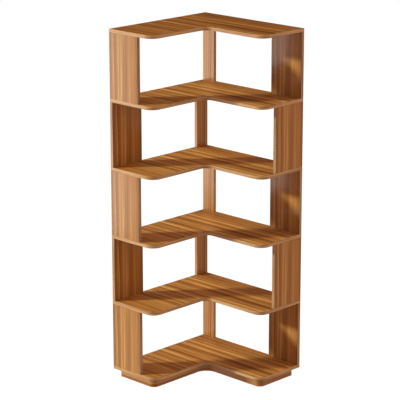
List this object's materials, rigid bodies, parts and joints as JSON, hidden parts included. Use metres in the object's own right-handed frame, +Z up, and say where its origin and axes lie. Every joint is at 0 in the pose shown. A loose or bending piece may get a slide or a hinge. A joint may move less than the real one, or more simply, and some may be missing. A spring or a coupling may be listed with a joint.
{
  "type": "corner shelf unit",
  "caption": "Tall free-standing corner shelf unit: L-shaped open shelves with rounded ends on upright panels that turn from tier to tier, over a recessed plinth.",
  "frame": {"origin": "on the floor, under the centre of the square that the two arms lie in", "axes": "+Z up; the two walls meet at -X +Y; the right arm runs along +X at the back wall, the left arm along -Y at the left wall"},
  "size_m": [0.63, 0.63, 1.7],
  "materials": {
    "shelf_veneer": "satin walnut-coloured wood grain that runs along the right arm",
    "panel_veneer": "satin walnut-coloured wood grain that runs upright",
    "plinth_veneer": "satin walnut-coloured wood grain that runs level",
    "edge_band": "satin, paler than the faces",
    "cam_metal": "bright zinc",
    "bracket_steel": "zinc-plated sheet",
    "screw_steel": "zinc-plated"
  },
  "bodies": {
    "root": {"plinth_fascia": "plinth_veneer", "plinth_rail_left": "plinth_veneer", "plinth_rail_right": "plinth_veneer", "shelf_1": "shelf_veneer", "shelf_2": "shelf_veneer", "shelf_3": "shelf_veneer", "shelf_4": "shelf_veneer", "shelf_5": "shelf_veneer", "shelf_6": "shelf_veneer", "tier_1_left_end_panel": "panel_veneer", "tier_1_left_end_panel_cam_lower": "cam_metal", "tier_1_left_end_panel_cam_upper": "cam_metal", "tier_1_corner_panel": "panel_veneer", "tier_1_corner_panel_cam_lower": "cam_metal", "tier_1_corner_panel_cam_upper": "cam_metal", "tier_1_right_back_panel": "panel_veneer", "tier_1_right_back_panel_cam_lower": "cam_metal", "tier_1_right_back_panel_cam_upper": "cam_metal", "tier_2_left_back_panel": "panel_veneer", "tier_2_left_back_panel_cam_lower": "cam_metal", "tier_2_left_back_panel_cam_upper": "cam_metal", "tier_2_corner_panel": "panel_veneer", "tier_2_corner_panel_cam_lower": "cam_metal", "tier_2_corner_panel_cam_upper": "cam_metal", "tier_2_right_end_panel": "panel_veneer", "tier_2_right_end_panel_cam_lower": "cam_metal", "tier_2_right_end_panel_cam_upper": "cam_metal", "tier_3_left_end_panel": "panel_veneer", "tier_3_left_end_panel_cam_lower": "cam_metal", "tier_3_left_end_panel_cam_upper": "cam_metal", "tier_3_corner_panel": "panel_veneer", "tier_3_corner_panel_cam_lower": "cam_metal", "tier_3_corner_panel_cam_upper": "cam_metal", "tier_3_right_back_panel": "panel_veneer", "tier_3_right_back_panel_cam_lower": "cam_metal", "tier_3_right_back_panel_cam_upper": "cam_metal", "tier_4_left_back_panel": "panel_veneer", "tier_4_left_back_panel_cam_lower": "cam_metal", "tier_4_left_back_panel_cam_upper": "cam_metal", "tier_4_corner_panel": "panel_veneer", "tier_4_corner_panel_cam_lower": "cam_metal", "tier_4_corner_panel_cam_upper": "cam_metal", "tier_4_right_end_panel": "panel_veneer", "tier_4_right_end_panel_cam_lower": "cam_metal", "tier_4_right_end_panel_cam_upper": "cam_metal", "tier_5_left_end_panel": "panel_veneer", "tier_5_left_end_panel_cam_lower": "cam_metal", "tier_5_left_end_panel_cam_upper": "cam_metal", "tier_5_corner_panel": "panel_veneer", "tier_5_corner_panel_cam_lower": "cam_metal", "tier_5_corner_panel_cam_upper": "cam_metal", "tier_5_right_back_panel": "panel_veneer", "tier_5_right_back_panel_cam_lower": "cam_metal", "tier_5_right_back_panel_cam_upper": "cam_metal", "wall_bracket_right": "bracket_steel", "wall_bracket_right_screw_1": "screw_steel", "wall_bracket_right_screw_2": "screw_steel", "wall_bracket_left": "bracket_steel", "wall_bracket_left_screw_1": "screw_steel", "wall_bracket_left_screw_2": "screw_steel"}
  },
  "joints": []
}
